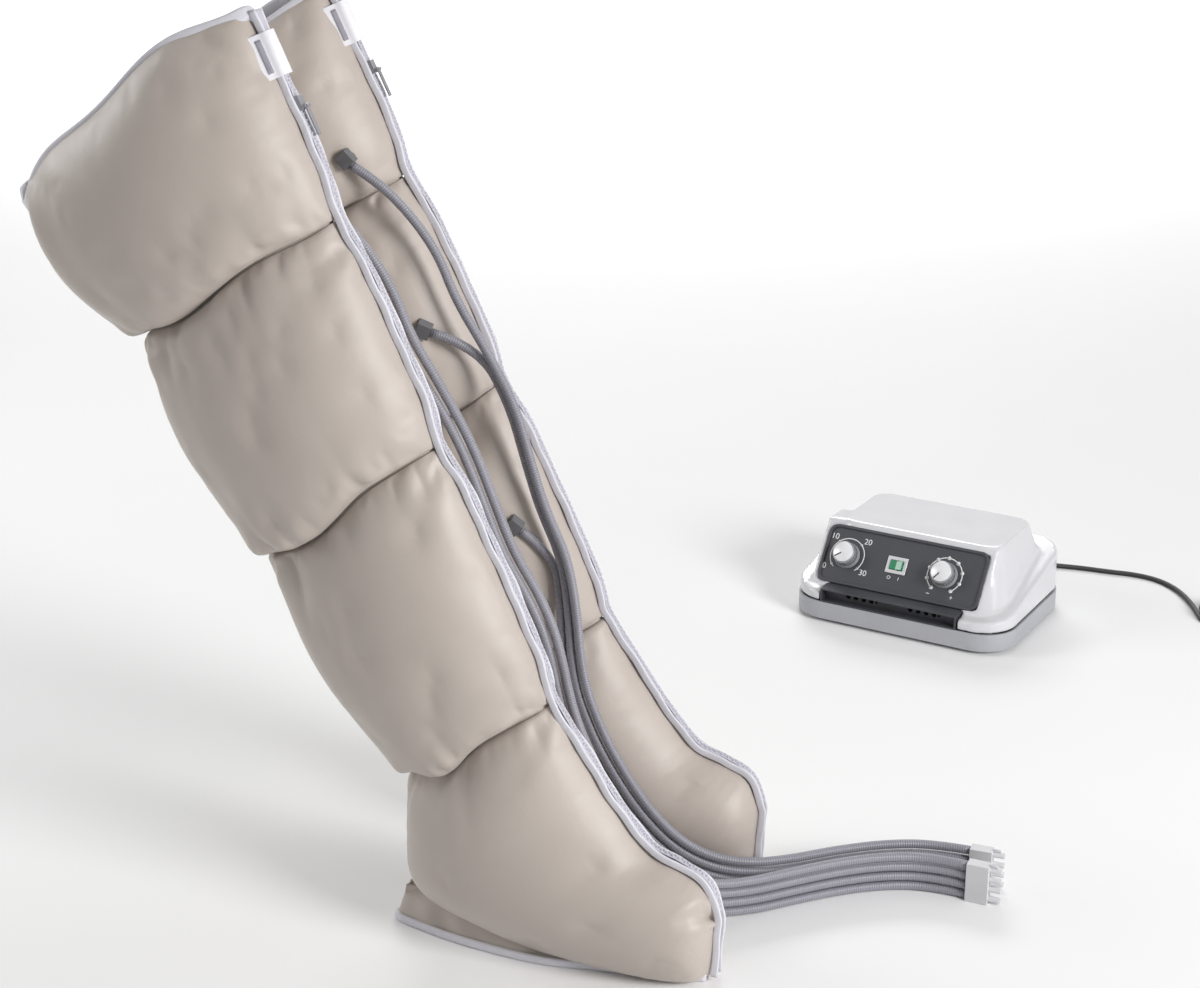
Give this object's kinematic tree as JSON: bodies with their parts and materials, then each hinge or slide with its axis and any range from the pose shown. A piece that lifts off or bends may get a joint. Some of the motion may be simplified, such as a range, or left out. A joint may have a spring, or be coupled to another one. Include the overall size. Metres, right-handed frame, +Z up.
{
  "type": "compression boot set",
  "caption": "Pair of inflated thigh-high compression boots with air hoses and a control unit with knobs and a power rocker, standing on the floor.",
  "frame": {"origin": "middle of the set's box on the floor, without the hoses and the lead", "axes": "+X the way the toes point, +Y from the right boot to the control unit, +Z up"},
  "size_m": [1.1215, 1.2356, 0.8643],
  "materials": {
    "boot_fabric": "satin coated nylon",
    "boot_binding": "woven binding tape",
    "zip_fabric": "woven zip tape with a nylon coil",
    "tab_fabric": "white woven tape",
    "zip_metal": "satin",
    "fitting_plastic": "moulded satin",
    "hose_vinyl": "soft satin vinyl",
    "plug_plastic": "moulded satin",
    "casing_white": "glossy moulded",
    "casing_grey": "fine moulded texture",
    "panel_charcoal": "fine moulded texture",
    "knob_plastic": "moulded satin",
    "rocker_green": "translucent glossy",
    "mechanism_metal": "satin",
    "bare_steel": "bright",
    "board_laminate": "lacquered",
    "foot_rubber": "matte",
    "lead_vinyl": "satin vinyl",
    "pin_nickel": "bright"
  },
  "bodies": {
    "set": {"right_thigh_chamber": "boot_fabric", "right_knee_chamber": "boot_fabric", "right_calf_chamber": "boot_fabric", "right_foot_chamber": "boot_fabric", "right_top_binding": "boot_binding", "right_zip_tape": "zip_fabric", "right_edge_binding": "boot_binding", "right_sole_margin": "boot_fabric", "right_top_tab": "tab_fabric", "right_hose_fittings": "fitting_plastic", "right_thigh_hose": "hose_vinyl", "right_knee_hose": "hose_vinyl", "right_calf_hose": "hose_vinyl", "right_foot_hose": "hose_vinyl", "right_hose_plug": "plug_plastic", "left_thigh_chamber": "boot_fabric", "left_knee_chamber": "boot_fabric", "left_calf_chamber": "boot_fabric", "left_foot_chamber": "boot_fabric", "left_top_binding": "boot_binding", "left_zip_tape": "zip_fabric", "left_edge_binding": "boot_binding", "left_sole_margin": "boot_fabric", "left_top_tab": "tab_fabric", "left_hose_fittings": "fitting_plastic", "left_thigh_hose": "hose_vinyl", "left_knee_hose": "hose_vinyl", "left_calf_hose": "hose_vinyl", "left_foot_hose": "hose_vinyl", "left_hose_plug": "plug_plastic", "upper_casing": "casing_white", "lower_casing": "casing_grey", "control_panel": "panel_charcoal", "socket_block": "panel_charcoal", "timer_mechanism": "mechanism_metal", "pressure_valve": "mechanism_metal", "switch_body": "casing_white", "pump_body": "mechanism_metal", "distributor_body": "plug_plastic", "distributor_motor": "mechanism_metal", "circuit_board": "board_laminate", "rubber_feet": "foot_rubber", "casing_screws": "bare_steel", "strain_relief": "lead_vinyl", "mains_lead": "lead_vinyl", "mains_coil": "lead_vinyl", "coil_tie": "foot_rubber", "mains_plug": "lead_vinyl", "plug_pins": "pin_nickel"},
    "timer_knob": {"timer_knob": "knob_plastic"},
    "pressure_knob": {"pressure_knob": "knob_plastic"},
    "power_rocker": {"power_rocker": "rocker_green"},
    "distributor_rotor": {"distributor_rotor": "plug_plastic"},
    "pump_armature": {"pump_armature": "bare_steel"},
    "right_zip_slider": {"right_zip_slider": "zip_metal"},
    "right_zip_pull": {"right_zip_pull": "zip_metal"},
    "left_zip_slider": {"left_zip_slider": "zip_metal"},
    "left_zip_pull": {"left_zip_pull": "zip_metal"}
  },
  "joints": [
    {"name": "timer_turn", "type": "hinge", "parent": "set", "child": "timer_knob", "pos_m": [0.17391, 0.39021, 0.07641], "axis": [0.1405, 0.7967, -0.5878], "range_deg": [0, 315]},
    {"name": "pressure_turn", "type": "hinge", "parent": "set", "child": "pressure_knob", "pos_m": [0.3039, 0.36728, 0.07641], "axis": [0.1405, 0.7967, -0.5878], "range_deg": [0, 290]},
    {"name": "power_rock", "type": "hinge", "parent": "set", "child": "power_rocker", "pos_m": [0.24088, 0.3784, 0.07641], "axis": [0.1021, 0.5789, 0.809], "range_deg": [0, 16]},
    {"name": "distributor_spin", "type": "hinge", "parent": "set", "child": "distributor_rotor", "pos_m": [0.34772, 0.47181, 0.026], "axis": [0, 0, 1], "continuous": true},
    {"name": "armature_swing", "type": "slide", "parent": "set", "child": "pump_armature", "axis": [0.9848, -0.1736, 0], "range_m": [-0.0015, 0.0015], "stiffness_N_per_m": 2000},
    {"name": "right_zip_run", "type": "slide", "parent": "set", "child": "right_zip_slider", "axis": [0.4179, 0, -0.9085], "range_m": [0, 0.537]},
    {"name": "right_pull_swing", "type": "hinge", "parent": "right_zip_slider", "child": "right_zip_pull", "pos_m": [-0.10127, -0.494, 0.78338], "axis": [0, -1, 0], "range_deg": [0, 150]},
    {"name": "left_zip_run", "type": "slide", "parent": "set", "child": "left_zip_slider", "axis": [0.4168, 0.0291, -0.9085], "range_m": [0, 0.537]},
    {"name": "left_pull_swing", "type": "hinge", "parent": "left_zip_slider", "child": "left_zip_pull", "pos_m": [-0.12371, -0.30499, 0.78338], "axis": [0.0698, -0.9976, 0], "range_deg": [0, 150]}
  ]
}
